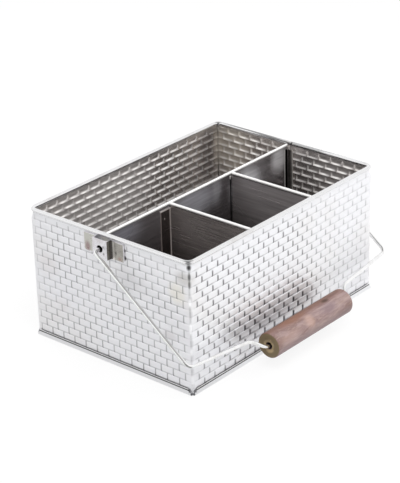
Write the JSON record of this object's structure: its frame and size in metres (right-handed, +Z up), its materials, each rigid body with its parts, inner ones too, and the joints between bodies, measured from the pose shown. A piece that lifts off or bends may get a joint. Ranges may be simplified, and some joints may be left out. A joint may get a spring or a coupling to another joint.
{
  "type": "utensil caddy",
  "caption": "Open steel utensil caddy with brick-embossed walls, one long and several short compartments, and a swinging wire bail with a wooden grip.",
  "frame": {"origin": "centre of the base pan's underside, on the surface it stands on", "axes": "+X along the box, +Y to the rear, away from the side the grip hangs on, +Z up"},
  "size_m": [0.2804, 0.2154, 0.1232],
  "materials": {
    "embossed_steel": "satin, brick-embossed sheet",
    "plain_steel": "brushed",
    "wire_steel": "bright drawn wire",
    "bracket_steel": "satin",
    "walnut": "oiled walnut"
  },
  "bodies": {
    "box": {"wall_band": "embossed_steel", "rim_wire": "wire_steel", "base_pan": "plain_steel", "long_divider": "plain_steel", "cross_divider_left": "plain_steel", "cross_divider_right": "plain_steel", "pivot_bracket_left": "bracket_steel", "pivot_bracket_right": "bracket_steel"},
    "bail": {"bail_wire": "wire_steel"},
    "grip": {"grip": "walnut"}
  },
  "joints": [
    {"name": "bail_swing", "type": "hinge", "parent": "box", "child": "bail", "pos_m": [0, 0.003, 0.1103], "axis": [-1, 0, 0], "range_deg": [-4, 259]},
    {"name": "grip_spin", "type": "hinge", "parent": "bail", "child": "grip", "pos_m": [0, -0.11234, 0.02275], "axis": [1, 0, 0], "continuous": true}
  ]
}
